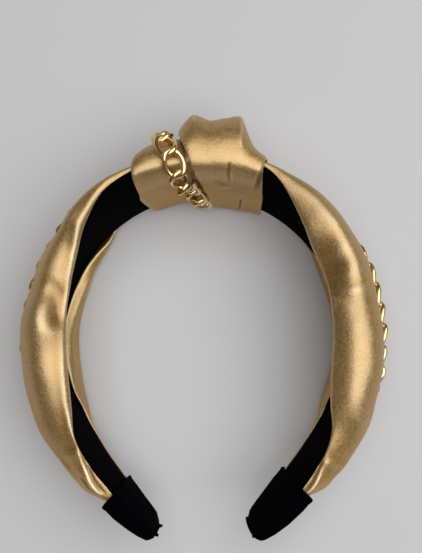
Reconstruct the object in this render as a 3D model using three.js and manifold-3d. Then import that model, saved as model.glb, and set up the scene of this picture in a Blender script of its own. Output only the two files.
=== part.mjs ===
// Knot headband: a stiff hoop in black cloth, dressed in gold leather that is gathered into a knot,
// with a curb chain along its outside. Millimetres. It lies on its side: +Z up, the knot towards +Y.
import * as THREE from 'three';
import Module from 'manifold-3d';

const wasm = await Module();
wasm.setup();

const MID_HEIGHT = 26.1; // height of the hoop's middle line above the table
const BAND_THICK = 2.5;
const BAND_STATIONS = 36;
const BAND_CLEAR = 0.35; // the band's edges stay this far inside the leather's sizes
const BAND_END = 163; // degrees from the top of the hoop to its ends
const TIP_IN = 1; // how far both ends of the hoop turn in
const TIP_TWIST = 7; // degrees by which the left end stands straighter than the right one
const TIP_FROM = 120; // degrees from the top where both begin
const LEATHER = 1.3; // wall of the leather
const CLOTH = 1.2; // wall of the tip sleeves
const LIP_OUT = 1.7; // how far the turned-in leather stands in from the hoop's inner face
const COVER_INNER_END = { left: 16.5, right: 14 }; // ends hidden in the knot, degrees from the top
const COVER_OUTER_END = { left: 153.5, right: 150.5 }; // ends hidden in the tip sleeves
const COVER_STATIONS = 20;
const COVER_STEPS = 14;
const SLEEVE_MOUTH = { left: 149.9, right: 147 };
const SLEEVE_END = 165.1;
const SLEEVE_SKEW = { left: 0.14, right: 0.06, tip: 0.4 }; // degrees that a section runs on per millimetre out
const SKEW_TURN = { from: 150, to: 162 }; // where the slant of the mouth becomes that of the tip, degrees

const LINK_PITCH = 8.8;
const LINK_HOLD = 1.6; // how far the wires of two neighbours hook past each other
const LINK_WIDTH = 6.8;
const WIRE_RADIUS = 0.95;
const LINK_TWIST = 45; // degrees
const CHAIN_LIFT = 2.5; // middle of the chain above the leather
const CHAIN_FLOOR = 2.9; // lowest that the middle of the chain may lie above the table

// Inner face of the hoop: how far round from the top, radius, half its width, opening towards the front
const HOOP = [
  { fromTop: 0, radius: 67.5, halfWidth: 16.6, flare: 10 },
  { fromTop: 30, radius: 66.6, halfWidth: 18.1, flare: 10 },
  { fromTop: 60, radius: 63.8, halfWidth: 17.7, flare: 6 },
  { fromTop: 90, radius: 62, halfWidth: 16.5, flare: 3 },
  { fromTop: 110, radius: 61.6, halfWidth: 15, flare: 5 },
  { fromTop: 128, radius: 62.9, halfWidth: 12.5, flare: 11 },
  { fromTop: 147, radius: 67.3, halfWidth: 9, flare: 16 },
  { fromTop: 156, radius: 72, halfWidth: 7.6, flare: 20 },
  { fromTop: 167, radius: 79, halfWidth: 6, flare: 20 },
];

// Leather of the left side. Crest is its height outside the hoop; the reaches go past the hoop's edges;
// the rolls are how far it bulges from the inner face; the lips are where its turned-in edges end.
const COVER_LEFT = [
  { fromTop: 16, crest: 5, lean: 0, frontReach: 1.6, frontRoll: 3, frontLip: 19,
    backReach: 1.6, backRoll: 3, backLip: 19 },
  { fromTop: 25, crest: 6.4, lean: 0, frontReach: 1.8, frontRoll: 2.5, frontLip: 19.7,
    backReach: 1.8, backRoll: 2.5, backLip: 19.7 },
  { fromTop: 35, crest: 8.6, lean: 0, frontReach: 2.4, frontRoll: 0.6, frontLip: 19.8,
    backReach: 3, backRoll: 1.8, backLip: 19.8 },
  { fromTop: 45, crest: 10, lean: 0, frontReach: 3.8, frontRoll: -2.4, frontLip: 17,
    backReach: 4.6, backRoll: -2.2, backLip: 18.6 },
  { fromTop: 60, crest: 11.2, lean: -1, frontReach: 5.4, frontRoll: -6.8, frontLip: 10,
    backReach: 7.4, backRoll: -4.2, backLip: 16.5 },
  { fromTop: 75, crest: 11.8, lean: -2, frontReach: 6, frontRoll: -8.6, frontLip: 7,
    backReach: 10.2, backRoll: -4.9, backLip: 15 },
  { fromTop: 92, crest: 12.6, lean: -2, frontReach: 6.4, frontRoll: -9.2, frontLip: 6,
    backReach: 11.4, backRoll: -5.1, backLip: 11 },
  { fromTop: 106, crest: 13.2, lean: -1, frontReach: 6.4, frontRoll: -8.2, frontLip: 7,
    backReach: 11.6, backRoll: -3.9, backLip: 9 },
  { fromTop: 118, crest: 14.2, lean: 0, frontReach: 5.4, frontRoll: -5.6, frontLip: 9,
    backReach: 8.6, backRoll: -1.6, backLip: 13 },
  { fromTop: 128, crest: 13.2, lean: 0, frontReach: 3.8, frontRoll: -2, frontLip: 14,
    backReach: 3.2, backRoll: 0.6, backLip: 14.2 },
  { fromTop: 141, crest: 12.4, lean: 0, frontReach: 2.1, frontRoll: 0.4, frontLip: 11.7,
    backReach: 2, backRoll: 0.8, backLip: 11.7 },
  { fromTop: 149.5, crest: 6.4, lean: 0, frontReach: 1.8, frontRoll: 0.6, frontLip: 10.3,
    backReach: 1.8, backRoll: 0.8, backLip: 10.3 },
  { fromTop: 153.5, crest: 5, lean: 0, frontReach: 1.8, frontRoll: 1.2, frontLip: 9.7,
    backReach: 1.8, backRoll: 1.4, backLip: 9.7 },
];

// Leather of the right side, fuller on the inside and flatter outside under the chain
const COVER_RIGHT = [
  { fromTop: 13, crest: 5, lean: 0, frontReach: 1.6, frontRoll: 3, frontLip: 18.8,
    backReach: 1.6, backRoll: 3, backLip: 18.8 },
  { fromTop: 22, crest: 6.8, lean: 0, frontReach: 1.8, frontRoll: 2, frontLip: 19.5,
    backReach: 1.8, backRoll: 2.5, backLip: 19.6 },
  { fromTop: 28, crest: 8, lean: 0, frontReach: 2.4, frontRoll: -2.4, frontLip: 19.4,
    backReach: 2.4, backRoll: 2.4, backLip: 19.8 },
  { fromTop: 38, crest: 9.2, lean: 0, frontReach: 4.2, frontRoll: -8, frontLip: 12,
    backReach: 4, backRoll: 2.2, backLip: 19.8 },
  { fromTop: 48, crest: 9.8, lean: 0, frontReach: 5.4, frontRoll: -11, frontLip: 9,
    backReach: 6, backRoll: 1.4, backLip: 19.6 },
  { fromTop: 60, crest: 9.8, lean: 0, frontReach: 6, frontRoll: -13.6, frontLip: 7,
    backReach: 8, backRoll: -1.1, backLip: 18.8 },
  { fromTop: 68, crest: 9.5, lean: 0, frontReach: 6.1, frontRoll: -14.3, frontLip: 6.4,
    backReach: 9.2, backRoll: -2.4, backLip: 15 },
  { fromTop: 75, crest: 9.2, lean: 0, frontReach: 6.2, frontRoll: -14.6, frontLip: 6,
    backReach: 10.2, backRoll: -2.7, backLip: 13 },
  { fromTop: 90, crest: 9, lean: 0, frontReach: 6.4, frontRoll: -14.8, frontLip: 6,
    backReach: 11.4, backRoll: -2.8, backLip: 10.5 },
  { fromTop: 104, crest: 10.6, lean: 0, frontReach: 6.4, frontRoll: -14.2, frontLip: 6,
    backReach: 11.6, backRoll: -2.7, backLip: 10 },
  { fromTop: 114, crest: 12.6, lean: 0, frontReach: 5.8, frontRoll: -11, frontLip: 7,
    backReach: 9.4, backRoll: -2.4, backLip: 12 },
  { fromTop: 127, crest: 13.4, lean: 0, frontReach: 3.8, frontRoll: -3, frontLip: 13.6,
    backReach: 3.4, backRoll: 0.6, backLip: 14.2 },
  { fromTop: 139, crest: 12.8, lean: 0, frontReach: 2.2, frontRoll: 0, frontLip: 12.1,
    backReach: 2, backRoll: 0.8, backLip: 12.1 },
  { fromTop: 147, crest: 6.1, lean: 0, frontReach: 1.8, frontRoll: 0.6, frontLip: 10.8,
    backReach: 1.8, backRoll: 0.8, backLip: 10.8 },
  { fromTop: 151, crest: 5, lean: 0, frontReach: 1.8, frontRoll: 1.2, frontLip: 10.1,
    backReach: 1.8, backRoll: 1.4, backLip: 10.1 },
];

// Hollows and bumps of the leather: place round the hoop and across the section, depth out, half sizes
const DENTS = {
  left: [
    { fromTop: 74, across: 0.68, depth: -1.6, long: 7, wide: 0.09 },
    { fromTop: 86, across: 0.64, depth: 0.9, long: 5, wide: 0.08 },
    { fromTop: 52, across: 0.66, depth: -0.9, long: 6, wide: 0.07 },
    { fromTop: 134, across: 0.7, depth: -1, long: 8, wide: 0.05 },
  ],
  right: [
    { fromTop: 61, across: 0.74, depth: -1.8, long: 8, wide: 0.09 },
    { fromTop: 70, across: 0.92, depth: -1.3, long: 4, wide: 0.06 },
    { fromTop: 98, across: 0.7, depth: 0.7, long: 20, wide: 0.06 },
    { fromTop: 133, across: 0.72, depth: -1, long: 8, wide: 0.05 },
  ],
};

// Loops of the knot, from left to right along their tops. Under is the height of the side that faces the hair.
const KNOT_UNDER = [
  { around: -22, crest: 11, frontReach: 4.4, backReach: 4.2, under: -1.8 },
  { around: -20, crest: 14.4, frontReach: 5, backReach: 4.8, under: -1.9 },
  { around: -16.5, crest: 15.8, frontReach: 5.2, backReach: 4.6, under: -1.9 },
  { around: -12, crest: 16.2, frontReach: 5, backReach: 3.2, under: -1.8 },
  { around: -7, crest: 16.6, frontReach: 4.5, backReach: 2.8, under: -1.7 },
  { around: -2.5, crest: 16.4, frontReach: 4.1, backReach: 2.8, under: -1.7 },
];
const KNOT_OVER = [
  { around: -7, crest: 20, frontReach: 7.1, backReach: 10.3, under: -3.5 },
  { around: -5, crest: 24, frontReach: 7.7, backReach: 10.5, under: -3.6 },
  { around: -2.3, crest: 26.9, frontReach: 7.9, backReach: 10.5, under: -3.6 },
  { around: 1.3, crest: 24.6, frontReach: 8.1, backReach: 10.5, under: -3.5 },
  { around: 5, crest: 25.8, frontReach: 8.1, backReach: 10.5, under: -3.2 },
  { around: 9, crest: 27.2, frontReach: 7.7, backReach: 10.3, under: -2.8 },
  { around: 11.4, crest: 21.8, frontReach: 7.3, backReach: 9.7, under: -2.5 },
  { around: 13.8, crest: 15.8, frontReach: 5.8, backReach: 5.8, under: -2.3 },
  { around: 17, crest: 12, frontReach: 5, backReach: 5, under: -2.1 },
  { around: 20, crest: 10.2, frontReach: 4.2, backReach: 4.2, under: -1.9 },
];

// Once round the knot's section, from the front of its underside over the back and the top to the front:
// left edge of the lower loop, line of the chain, left and right edge of the upper loop, in degrees round the hoop
const KNOT_EDGES = [
  { turn: 0, left: -24.8, chain: -9, lap: -4.2, right: 19.8 },
  { turn: 0.1, left: -24.6, chain: -5.6, lap: -0.8, right: 22.2 },
  { turn: 0.2, left: -20.6, chain: -0.4, lap: 4.4, right: 24.2 },
  { turn: 0.3, left: -20, chain: 0.4, lap: 5.2, right: 23 },
  { turn: 0.4, left: -21.2, chain: -3.6, lap: 1.2, right: 20.6 },
  { turn: 0.5, left: -22, chain: -8, lap: -3.2, right: 19.6 },
  { turn: 0.6, left: -22, chain: -11.4, lap: -6, right: 19.4 },
  { turn: 0.7, left: -22, chain: -12, lap: -6.6, right: 19.4 },
  { turn: 0.8, left: -22.6, chain: -11.4, lap: -6.4, right: 18.8 },
  { turn: 0.9, left: -23.6, chain: -10.6, lap: -5.6, right: 19 },
  { turn: 1, left: -24.8, chain: -9, lap: -4.2, right: 19.8 },
];
const TUCK = 2.8; // how far the lower loop runs on inside the upper one

// Lines of the two side chains: place round the hoop and across the leather's section
const CHAIN_LEFT = [
  { fromTop: 25.6, across: 0.47 },
  { fromTop: 60, across: 0.45 },
  { fromTop: 92, across: 0.45 },
  { fromTop: 110, across: 0.42 },
  { fromTop: 134, across: 0.37 },
  { fromTop: 146.2, across: 0.41 },
];
const CHAIN_RIGHT = [
  { fromTop: 22.6, across: 0.47 },
  { fromTop: 50, across: 0.45 },
  { fromTop: 72, across: 0.485 },
  { fromTop: 92, across: 0.53 },
  { fromTop: 101, across: 0.5 },
  { fromTop: 112, across: 0.42 },
  { fromTop: 134, across: 0.37 },
  { fromTop: 146.2, across: 0.41 },
];

// Cloth sleeves of the ends: inner and outer side from the hoop's inner face, half width
const SLEEVE = [
  { fromTop: 147.5, inner: -1.8, outer: 8.3, halfWidth: 12.9 },
  { fromTop: 152, inner: -1.8, outer: 7.7, halfWidth: 12.4 },
  { fromTop: 157, inner: -1.7, outer: 6.5, halfWidth: 11.2 },
  { fromTop: 161, inner: -1.6, outer: 5.4, halfWidth: 10 },
  { fromTop: 164.2, inner: -1.4, outer: 4.5, halfWidth: 7.8 },
  { fromTop: 165.6, inner: -0.8, outer: 3.6, halfWidth: 5 },
];

const { clamp, lerp, smoothstep, degToRad } = THREE.MathUtils;

// Smooth values between the rows of a table, which is ordered by its first column
function rowAt(table, at) {
  const [place, ...names] = Object.keys(table[0]);
  const last = table.length - 1;
  const spot = clamp(at, table[0][place], table[last][place]);
  let i = 0;
  while (i < last - 1 && spot > table[i + 1][place]) {
    i += 1;
  }
  const span = (k) => table[k + 1][place] - table[k][place];
  const rise = (name, k) => (table[k + 1][name] - table[k][name]) / span(k);
  const slope = (name, k) => {
    if (k === 0 || k === last) {
      return rise(name, k === 0 ? 0 : last - 1);
    }
    const before = rise(name, k - 1);
    const after = rise(name, k);
    return before * after > 0 ? (2 * before * after) / (before + after) : 0;
  };
  const s = (spot - table[i][place]) / span(i);
  const ease = s * s * (3 - 2 * s);
  const row = {};
  for (const name of names) {
    const start = slope(name, i) * span(i) * s * (1 - s) * (1 - s);
    const end = slope(name, i + 1) * span(i) * s * s * (s - 1);
    row[name] = lerp(table[i][name], table[i + 1][name], ease) + start + end;
  }
  return row;
}

function hoopPoint(around) {
  const { radius } = rowAt(HOOP, Math.abs(around));
  const turn = degToRad(around);
  const inwards = Math.sign(around) * TIP_IN * smoothstep(Math.abs(around), TIP_FROM, BAND_END);
  return new THREE.Vector2(radius * Math.sin(turn) - inwards, radius * Math.cos(turn));
}

// A point beside the hoop: degrees round from the top (right is positive), distance out, distance to the front
function place(around, out, front, floor = -Infinity) {
  const twist = TIP_TWIST * smoothstep(-around, TIP_FROM, BAND_END);
  const lean = degToRad(rowAt(HOOP, Math.abs(around)).flare - twist);
  const spot = hoopPoint(around);
  const along = hoopPoint(around + 0.5).sub(hoopPoint(around - 0.5)).normalize();
  const away = out * Math.cos(lean) + front * Math.sin(lean);
  const height = MID_HEIGHT + front * Math.cos(lean) - out * Math.sin(lean);
  return new THREE.Vector3(spot.x - along.y * away, spot.y + along.x * away, Math.max(height, floor));
}

// Skin over a row of rings; the ends are closed, or the last ring joins the first
function loft(rings, joined = false) {
  const sides = rings[0].length;
  const index = [];
  const quad = (a, b, c, d) => index.push(a, b, c, a, c, d);
  for (let r = 0; r < rings.length - (joined ? 0 : 1); r += 1) {
    const here = r * sides;
    const next = ((r + 1) % rings.length) * sides;
    for (let s = 0; s < sides; s += 1) {
      const t = (s + 1) % sides;
      quad(here + s, here + t, next + t, next + s);
    }
  }
  if (!joined) {
    const end = (rings.length - 1) * sides;
    for (let s = 0; s < sides / 2 - 1; s += 1) {
      quad(sides - 1 - s, sides - 2 - s, s + 1, s);
      quad(end + s, end + s + 1, end + sides - 2 - s, end + sides - 1 - s);
    }
  }
  const points = rings.flat();
  let volume = 0;
  for (let k = 0; k < index.length; k += 3) {
    const [a, b, c] = index.slice(k, k + 3).map((n) => points[n]);
    volume += a.dot(new THREE.Vector3().crossVectors(b, c));
  }
  if (volume < 0) {
    index.reverse();
  }
  const geometry = new THREE.BufferGeometry().setFromPoints(points);
  geometry.setIndex(index);
  return geometry;
}

function toSolid(geometry) {
  return new wasm.Manifold(new wasm.Mesh({
    numProp: 3,
    vertProperties: geometry.attributes.position.array,
    triVerts: Uint32Array.from(geometry.index.array),
  }));
}

function toGeometry(solid) {
  const mesh = solid.getMesh();
  const geometry = new THREE.BufferGeometry();
  geometry.setAttribute('position', new THREE.BufferAttribute(mesh.vertProperties, mesh.numProp));
  geometry.setIndex(new THREE.BufferAttribute(mesh.triVerts, 1));
  return geometry;
}

const flat = (pairs) => pairs.map(([out, front]) => new THREE.Vector3(out, front, 0));

// A spot on a section's curve, moved out along the curve's normal
function lifted(curve, t, lift) {
  const spot = curve.getPoint(t);
  const way = curve.getTangent(t);
  return { out: spot.x + way.y * lift, front: spot.y - way.x * lift };
}

// Leather of one side, cut across: from the lip at the back over the outside to the lip at the front
function coverCurve(table, fromTop) {
  const row = rowAt(table, fromTop);
  const { halfWidth } = rowAt(HOOP, fromTop);
  const front = halfWidth + row.frontReach;
  const back = halfWidth + row.backReach;
  const edgeOut = (roll) => lerp(roll, row.crest, 0.5);
  return new THREE.CatmullRomCurve3(flat([
    [Math.max(row.backRoll, -LIP_OUT), -row.backLip],
    [row.backRoll, -lerp(row.backLip, back, 0.62)],
    [edgeOut(row.backRoll), -back],
    [row.crest * 0.8, -back * 0.64],
    [row.crest, row.lean],
    [row.crest * 0.8, front * 0.64],
    [edgeOut(row.frontRoll), front],
    [row.frontRoll, lerp(row.frontLip, front, 0.62)],
    [Math.max(row.frontRoll, -LIP_OUT), row.frontLip],
  ]), false, 'centripetal');
}

function dentAt(dents, fromTop, across) {
  return dents.reduce((sum, dent) => {
    const a = (fromTop - dent.fromTop) / dent.long;
    const b = (across - dent.across) / dent.wide;
    return sum + dent.depth * Math.exp(-a * a - b * b);
  }, 0);
}

function cover(side) {
  const table = side === 'left' ? COVER_LEFT : COVER_RIGHT;
  const way = side === 'left' ? -1 : 1;
  const rings = [];
  for (let k = 0; k <= COVER_STATIONS; k += 1) {
    const fromTop = lerp(COVER_INNER_END[side], COVER_OUTER_END[side], k / COVER_STATIONS);
    const curve = coverCurve(table, fromTop);
    const outside = [];
    const inside = [];
    for (let n = 0; n <= COVER_STEPS; n += 1) {
      const across = n / COVER_STEPS;
      const dent = dentAt(DENTS[side], fromTop, across);
      const outer = lifted(curve, across, dent);
      const inner = lifted(curve, across, dent - LEATHER);
      outside.push(place(way * fromTop, outer.out, outer.front, 0));
      inside.push(place(way * fromTop, inner.out, inner.front, LEATHER));
    }
    rings.push([...outside, ...inside.reverse()]);
  }
  return loft(rings);
}

// A loop of the knot, cut across: underside, back, top and front
function knotCurve(table, top) {
  const row = rowAt(table, top);
  const { halfWidth } = rowAt(HOOP, Math.abs(top));
  const front = halfWidth + row.frontReach;
  const back = halfWidth + row.backReach;
  return new THREE.CatmullRomCurve3(flat([
    [row.under, front - row.frontReach * 0.6],
    [row.under, 0],
    [row.under, -back + row.backReach * 0.6],
    [row.crest * 0.12, -back],
    [row.crest * 0.5, -back * 0.94],
    [row.crest * 0.86, -back * 0.56],
    [row.crest, 0],
    [row.crest * 0.86, front * 0.56],
    [row.crest * 0.5, front * 0.94],
    [row.crest * 0.12, front],
  ]), true, 'centripetal');
}

// Degrees round the hoop of a spot on a loop: share goes from the loop's left edge to its right edge
function knotAround(loop, turn, share) {
  const edges = rowAt(KNOT_EDGES, turn);
  return loop === 'under'
    ? lerp(edges.left, edges.lap + TUCK, share)
    : lerp(edges.lap, edges.right, share);
}

function knotSpot(loop, turn, share, lift, floor) {
  const table = loop === 'under' ? KNOT_UNDER : KNOT_OVER;
  const top = lerp(table[0].around, table[table.length - 1].around, share);
  const spot = lifted(knotCurve(table, top), turn, lift);
  return place(knotAround(loop, turn, share), spot.out, spot.front, floor);
}

function knotLoop(loop, stations) {
  const turns = 20;
  const rings = [];
  for (let n = 0; n < turns; n += 1) {
    const outside = [];
    const inside = [];
    for (let k = 0; k <= stations; k += 1) {
      outside.push(knotSpot(loop, n / turns, k / stations, 0, 0));
      inside.push(knotSpot(loop, n / turns, k / stations, -LEATHER, LEATHER));
    }
    rings.push([...outside, ...inside.reverse()]);
  }
  return loft(rings, true);
}

function innerBand() {
  const rings = [];
  for (let k = 0; k <= BAND_STATIONS; k += 1) {
    const around = lerp(-BAND_END, BAND_END, k / BAND_STATIONS);
    const end = Math.min(1, (BAND_END - Math.abs(around)) / 6);
    const half = (rowAt(HOOP, Math.abs(around)).halfWidth - BAND_CLEAR) * lerp(0.6, 1, Math.sqrt(end));
    rings.push([
      [0, -half + 0.8], [0, half - 0.8], [BAND_THICK / 2, half],
      [BAND_THICK, half - 0.8], [BAND_THICK, -half + 0.8], [BAND_THICK / 2, -half],
    ].map(([out, front]) => place(around, out, front)));
  }
  return loft(rings);
}

// Rounded flat loop of a tip sleeve, smaller by the wall for its hollow
function sleeveRing(around, wall) {
  const row = rowAt(SLEEVE, Math.abs(around));
  const side = around < 0 ? 'left' : 'right';
  const turned = smoothstep(Math.abs(around), SKEW_TURN.from, SKEW_TURN.to);
  const skew = lerp(SLEEVE_SKEW[side], SLEEVE_SKEW.tip, turned);
  const thick = (row.outer - row.inner) / 2 - wall;
  const wide = row.halfWidth - wall;
  const ring = [];
  const sides = 10;
  for (let n = 0; n < sides; n += 1) {
    const turn = ((n + 0.5) / sides) * Math.PI * 2;
    const squared = (value) => Math.sign(value) * Math.abs(value) ** 0.5;
    const out = (row.inner + row.outer) / 2 + thick * squared(Math.sin(turn));
    const skewed = around + Math.sign(around) * skew * out;
    ring.push(place(skewed, out, wide * squared(Math.cos(turn))));
  }
  return ring;
}

function tipSleeve(side) {
  const way = side === 'left' ? -1 : 1;
  const rings = (from, to, wall) => Array.from({ length: 7 }, (_, k) => (
    sleeveRing(way * lerp(from, to, Math.sin((k / 6) * Math.PI * 0.5)), wall)));
  const outside = toSolid(loft(rings(SLEEVE_MOUTH[side], SLEEVE_END, 0)));
  const hollow = toSolid(loft(rings(SLEEVE_MOUTH[side] - 3, SLEEVE_END - CLOTH, CLOTH)));
  return toGeometry(outside.subtract(hollow));
}

// One link: an oval of round wire, twisted so that the links lie flat together
function link(length) {
  const middle = (turn) => {
    const twist = degToRad(LINK_TWIST) * Math.cos(turn);
    const side = (LINK_WIDTH / 2) * Math.sign(Math.sin(turn)) * Math.abs(Math.sin(turn)) ** 0.7;
    return new THREE.Vector3((length / 2) * Math.cos(turn), side * Math.cos(twist), side * Math.sin(twist));
  };
  const parts = 10;
  const sides = 5;
  const rings = [];
  for (let k = 0; k < parts; k += 1) {
    const turn = ((k + 0.5) / parts) * Math.PI * 2;
    const spot = middle(turn);
    const way = middle(turn + 0.1).sub(middle(turn - 0.1)).normalize();
    const out = spot.clone().addScaledVector(way, -spot.dot(way)).normalize();
    const up = new THREE.Vector3().crossVectors(way, out);
    rings.push(Array.from({ length: sides }, (_, s) => {
      const angle = (s / sides + 0.5) * Math.PI * 2;
      return spot.clone()
        .addScaledVector(out, WIRE_RADIUS * Math.cos(angle))
        .addScaledVector(up, WIRE_RADIUS * Math.sin(angle));
    }));
  }
  return loft(rings, true);
}

// Links along a line of spots, each with the way that faces up from the leather
function chain(spots, closed = false) {
  const line = new THREE.CatmullRomCurve3(spots.map((spot) => spot.at), closed, 'centripetal');
  const facing = new THREE.CatmullRomCurve3(spots.map((spot) => spot.up), closed, 'centripetal');
  line.arcLengthDivisions = 800;
  const run = line.getLength() - (closed ? 0 : LINK_HOLD);
  const count = Math.round(run / LINK_PITCH);
  const pitch = run / count;
  let solid = null;
  for (let k = 0; k < count; k += 1) {
    const share = ((closed ? 0 : LINK_HOLD / 2) + pitch * (k + 0.5)) / line.getLength();
    const way = line.getTangentAt(share);
    const up = facing.getPoint(line.getUtoTmapping(share));
    const side = new THREE.Vector3().crossVectors(up, way).normalize();
    up.crossVectors(way, side);
    const geometry = link(pitch + LINK_HOLD);
    geometry.applyMatrix4(new THREE.Matrix4().makeBasis(way, side, up).setPosition(line.getPointAt(share)));
    solid = solid ? solid.add(toSolid(geometry)) : toSolid(geometry);
  }
  const skins = solid.simplify(0.14).decompose().sort((a, b) => b.volume() - a.volume());
  return toGeometry(skins[0]);
}

function facingSpot(low, high) {
  return { at: high, up: high.clone().sub(low).normalize() };
}

function sideChain(side) {
  const table = side === 'left' ? COVER_LEFT : COVER_RIGHT;
  const line = side === 'left' ? CHAIN_LEFT : CHAIN_RIGHT;
  const way = side === 'left' ? -1 : 1;
  const steps = 24;
  return chain(Array.from({ length: steps + 1 }, (_, k) => {
    const fromTop = lerp(line[0].fromTop, line[line.length - 1].fromTop, k / steps);
    const { across } = rowAt(line, fromTop);
    const curve = coverCurve(table, fromTop);
    const low = lifted(curve, across, 0);
    const high = lifted(curve, across, CHAIN_LIFT);
    return facingSpot(
      place(way * fromTop, low.out, low.front),
      place(way * fromTop, high.out, high.front),
    );
  }));
}

function knotChain() {
  const steps = 20;
  return chain(Array.from({ length: steps }, (_, k) => {
    const turn = k / steps;
    const edges = rowAt(KNOT_EDGES, turn);
    const share = (edges.chain - edges.left) / (edges.lap + TUCK - edges.left);
    return facingSpot(
      knotSpot('under', turn, share, 0, 0),
      knotSpot('under', turn, share, CHAIN_LIFT, CHAIN_FLOOR),
    );
  }), true);
}

const BLACK_CLOTH = { color: 0x0b0b0f, roughness: 0.92, metalness: 0 };
const GOLD_LEATHER = { color: 0xb48a4c, roughness: 0.42, metalness: 0.7 };
const GOLD_CHAIN = { color: 0xe0bd78, roughness: 0.2, metalness: 1 };

const PIECES = [
  { name: 'inner_band', geometry: innerBand(), look: BLACK_CLOTH },
  { name: 'cover_left', geometry: cover('left'), look: GOLD_LEATHER },
  { name: 'cover_right', geometry: cover('right'), look: GOLD_LEATHER },
  { name: 'knot_under', geometry: knotLoop('under', 6), look: GOLD_LEATHER },
  { name: 'knot_over', geometry: knotLoop('over', 10), look: GOLD_LEATHER },
  { name: 'chain_left', geometry: sideChain('left'), look: GOLD_CHAIN },
  { name: 'chain_right', geometry: sideChain('right'), look: GOLD_CHAIN },
  { name: 'chain_knot', geometry: knotChain(), look: GOLD_CHAIN },
  { name: 'tip_sleeve_left', geometry: tipSleeve('left'), look: BLACK_CLOTH },
  { name: 'tip_sleeve_right', geometry: tipSleeve('right'), look: BLACK_CLOTH },
];

const headband = new THREE.Group();
headband.name = 'knot_headband';
for (const { name, geometry, look } of PIECES) {
  const mesh = new THREE.Mesh(geometry, new THREE.MeshStandardMaterial(look));
  mesh.name = name;
  headband.add(mesh);
}

// The origin lies under the middle of the whole headband, at the table
const box = new THREE.Box3().setFromObject(headband);
const middle = box.getCenter(new THREE.Vector3());
for (const mesh of headband.children) {
  mesh.geometry.translate(-middle.x, -middle.y, -box.min.z);
}

export default headband;
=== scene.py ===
import math
import random

import bmesh
import bpy
import numpy as np
from mathutils import Matrix, Vector
from mathutils.bvhtree import BVHTree


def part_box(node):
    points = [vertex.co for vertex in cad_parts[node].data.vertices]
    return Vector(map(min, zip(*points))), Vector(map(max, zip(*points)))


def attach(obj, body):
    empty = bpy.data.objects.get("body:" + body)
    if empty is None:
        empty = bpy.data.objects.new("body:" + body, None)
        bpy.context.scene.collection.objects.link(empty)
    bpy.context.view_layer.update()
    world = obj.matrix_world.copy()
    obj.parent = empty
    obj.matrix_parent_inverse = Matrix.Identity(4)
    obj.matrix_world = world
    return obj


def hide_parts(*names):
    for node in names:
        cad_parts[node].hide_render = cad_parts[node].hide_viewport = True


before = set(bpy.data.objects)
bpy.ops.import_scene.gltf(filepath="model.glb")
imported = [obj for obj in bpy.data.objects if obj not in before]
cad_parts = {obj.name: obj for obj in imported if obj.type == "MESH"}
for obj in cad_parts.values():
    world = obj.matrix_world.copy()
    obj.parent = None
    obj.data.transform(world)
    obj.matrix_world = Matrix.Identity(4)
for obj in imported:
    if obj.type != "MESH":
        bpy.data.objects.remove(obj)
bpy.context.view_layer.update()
scene = bpy.context.scene
scene.view_settings.view_transform = "Standard"
mm = 0.001

# camera above the ring's middle, tipped a little towards the knot
cameraValues = {
    "height": 300 * mm,  # above the table
    "lens": 42.6,
    "aimRight": 2.9 * mm,
    "aimUp": 26.6 * mm,
    "ringTop": 73 * mm,  # top of the band above the ring's middle
}


def findRing():
    low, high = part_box("inner_band")
    return Vector(((low.x + high.x) / 2, high.y - cameraValues["ringTop"], (low.z + high.z) / 2))


def makeCamera():
    data = bpy.data.cameras.new("camera")
    data.lens = cameraValues["lens"]
    camera = bpy.data.objects.new("camera", data)
    scene.collection.objects.link(camera)
    camera.location = (ring.x, ring.y, cameraValues["height"])
    aim = ring + Vector((cameraValues["aimRight"], cameraValues["aimUp"], 0))
    back = (camera.location - aim).normalized()
    right = Vector((0, 1, 0)).cross(back).normalized()
    turn = Matrix((right, back.cross(right), back)).transposed()
    camera.rotation_euler = turn.to_euler()
    scene.camera = camera


ring = findRing()
makeCamera()
print("camera set")


# places on the headband: degrees round from the top (right is positive), radius,
# and facing, the turn about the band: 0 outwards, 90 to the front, 180 inwards, -90 to the back
def roundAngle(points):
    return np.degrees(np.arctan2(points[:, 0] - ring.x, points[:, 1] - ring.y))


def ringRadius(points):
    return np.hypot(points[:, 0] - ring.x, points[:, 1] - ring.y)


def meshPoints(data):
    points = np.empty(len(data.vertices) * 3)
    data.vertices.foreach_get("co", points)
    return points.reshape(-1, 3)


def meshNormals(data):
    normals = np.empty(len(data.vertices) * 3)
    data.vertices.foreach_get("normal", normals)
    return normals.reshape(-1, 3)


bandValues = {
    "span": 170,  # degrees from the top to each end
    "step": 2,
    "window": 5,  # degrees over which the radius is averaged
    "weaveRadius": 65 * mm,  # turns degrees into lengths for the ribbon's weave
}


# mean radius of the band by degrees round
def bandLine():
    points = meshPoints(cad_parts["inner_band"].data)
    angles = np.arange(-bandValues["span"], bandValues["span"] + 1, bandValues["step"])
    away = angles[:, None] - roundAngle(points)[None, :]
    weights = np.exp(-(away / bandValues["window"]) ** 2)
    return angles, weights @ ringRadius(points) / weights.sum(1)


bandAngles, bandRadii = bandLine()


def facingAngle(points, centreOut):
    outwards = ringRadius(points) - np.interp(roundAngle(points), bandAngles, bandRadii) - centreOut
    return np.degrees(np.arctan2(points[:, 2] - ring.z, outwards))


def outWay(points):
    return (points - np.array(ring)) * (1, 1, 0) / ringRadius(points)[:, None]


def facingWay(points, centreOut):
    turn = np.radians(facingAngle(points, centreOut))[:, None]
    return outWay(points) * np.cos(turn) + np.array((0, 0, 1)) * np.sin(turn)


rippleValues = {"waves": 9, "pace": (0.7, 1.5)}


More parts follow.
